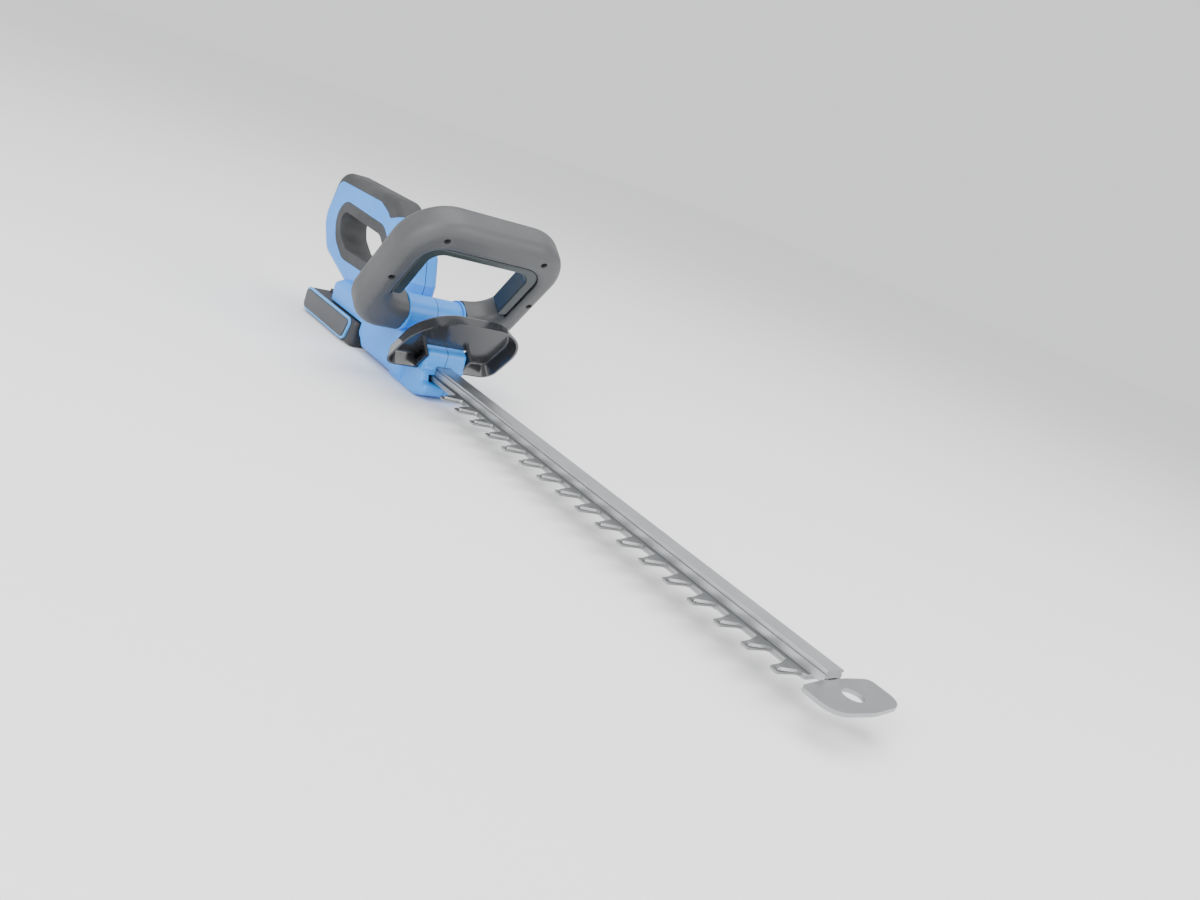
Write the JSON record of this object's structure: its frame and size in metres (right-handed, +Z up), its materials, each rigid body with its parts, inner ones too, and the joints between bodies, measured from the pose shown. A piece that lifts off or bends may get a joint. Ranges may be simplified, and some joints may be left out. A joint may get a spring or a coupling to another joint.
{
  "type": "hedge trimmer",
  "caption": "Battery hedge trimmer with a closed rear grip, a wrap-round front handle with a switch lever, a dished hand guard and a long double-sided blade.",
  "frame": {"origin": "on the flat underside of the gear nose, straight below the crank spindle", "axes": "+X forward to the blade tip, +Y to the user's left, +Z up"},
  "size_m": [0.9023, 0.186, 0.195],
  "materials": {
    "housing_plastic": "satin",
    "grip_rubber": "matte",
    "handle_plastic": "matte",
    "lever_plastic": "satin",
    "guard_plastic": "gloss",
    "pack_plastic": "matte",
    "panel_plastic": "satin",
    "rim_plastic": "satin",
    "blade_steel": "satin",
    "plain_steel": "satin",
    "black_screw_steel": "satin",
    "bar_aluminium": "satin",
    "plate_steel": "satin",
    "bronze": "satin",
    "magnet": "matte",
    "winding": "satin",
    "cell_steel": "satin",
    "circuit_board": "satin",
    "spring_steel": "satin",
    "switch_plastic": "satin"
  },
  "bodies": {
    "tool": {"bar_pin": "plain_steel", "blade_bolts": "plain_steel", "blade_spacers": "plain_steel", "blade_washers": "plain_steel", "control_board": "circuit_board", "front_handle_front": "handle_plastic", "front_handle_rear": "handle_plastic", "gear_base_plate": "plain_steel", "gear_pillars": "plain_steel", "gear_spindles": "plain_steel", "gear_top_plate": "plain_steel", "grip_cover_left": "grip_rubber", "grip_cover_right": "grip_rubber", "grip_liner_left": "grip_rubber", "grip_liner_right": "grip_rubber", "guard_screws": "black_screw_steel", "guide_bar": "bar_aluminium", "hand_guard": "guard_plastic", "handle_screws": "black_screw_steel", "housing_left": "housing_plastic", "housing_right": "housing_plastic", "housing_screws": "black_screw_steel", "lever_spring": "spring_steel", "lever_switch": "switch_plastic", "motor_can": "plain_steel", "motor_endbell": "switch_plastic", "motor_magnets": "magnet", "motor_plate": "bar_aluminium", "motor_screws": "plain_steel", "terminal_blades": "bronze", "terminal_block": "switch_plastic", "tip_plate": "plate_steel", "tip_screw": "plain_steel", "trigger_pin": "plain_steel", "trigger_spring": "spring_steel", "trigger_switch": "switch_plastic"},
    "upper_blade": {"blade_upper": "blade_steel"},
    "lower_blade": {"blade_lower": "blade_steel"},
    "motor_rotor": {"motor_armature": "winding", "motor_shaft": "plain_steel", "motor_pinion": "plain_steel"},
    "idler": {"idler_gear": "plain_steel"},
    "crank": {"crank_gear": "plain_steel", "eccentric_lower": "plain_steel", "eccentric_upper": "plain_steel", "crank_bush": "bronze"},
    "trigger_lever": {"trigger": "lever_plastic"},
    "front_switch_lever": {"switch_lever": "lever_plastic"},
    "battery": {"battery_case_lower": "pack_plastic", "battery_case_upper": "pack_plastic", "battery_rim_right": "rim_plastic", "battery_rim_left": "rim_plastic", "battery_panel_right": "panel_plastic", "battery_panel_left": "panel_plastic", "battery_cells": "cell_steel", "battery_board": "circuit_board", "battery_screws": "black_screw_steel", "release_spring": "spring_steel"},
    "battery_release": {"release_button": "pack_plastic"}
  },
  "joints": [
    {"name": "upper_blade_stroke", "type": "slide", "parent": "tool", "child": "upper_blade", "axis": [1, 0, 0], "range_m": [-0.005, 0.005]},
    {"name": "lower_blade_stroke", "type": "slide", "parent": "tool", "child": "lower_blade", "axis": [1, 0, 0], "range_m": [-0.005, 0.005]},
    {"name": "motor_spin", "type": "hinge", "parent": "tool", "child": "motor_rotor", "pos_m": [-0.0432, 0, 0.03], "axis": [0, 0, 1], "continuous": true},
    {"name": "idler_spin", "type": "hinge", "parent": "tool", "child": "idler", "pos_m": [-0.0216, 0, 0.012], "axis": [0, 0, 1], "continuous": true},
    {"name": "crank_spin", "type": "hinge", "parent": "tool", "child": "crank", "pos_m": [0, 0, 0.018], "axis": [0, 0, 1], "continuous": true},
    {"name": "trigger_pull", "type": "hinge", "parent": "tool", "child": "trigger_lever", "pos_m": [-0.105, 0, 0.088], "axis": [0, 1, 0], "range_deg": [0, 9], "stiffness_Nm_per_rad": 0.35, "springref_deg": -8.59},
    {"name": "front_lever_squeeze", "type": "hinge", "parent": "tool", "child": "front_switch_lever", "pos_m": [-0.00219, 0, 0.10826], "axis": [0, -1, 0], "range_deg": [0, 4], "stiffness_Nm_per_rad": 3, "springref_deg": -8.59},
    {"name": "battery_removal", "type": "slide", "parent": "tool", "child": "battery", "axis": [-1, 0, 0], "range_m": [0, 0.14]},
    {"name": "battery_release_press", "type": "slide", "parent": "battery", "child": "battery_release", "axis": [0, 0, -1], "range_m": [0, 0.0025], "stiffness_N_per_m": 800, "springref_m": -0.002, "deforming": ["release_spring"]}
  ],
  "couplings": [
    {"joint": "lower_blade_stroke", "follows": "upper_blade_stroke", "ratio": -1},
    {"joint": "idler_spin", "follows": "motor_spin", "ratio": -0.22727},
    {"joint": "crank_spin", "follows": "motor_spin", "ratio": 0.079545}
  ]
}
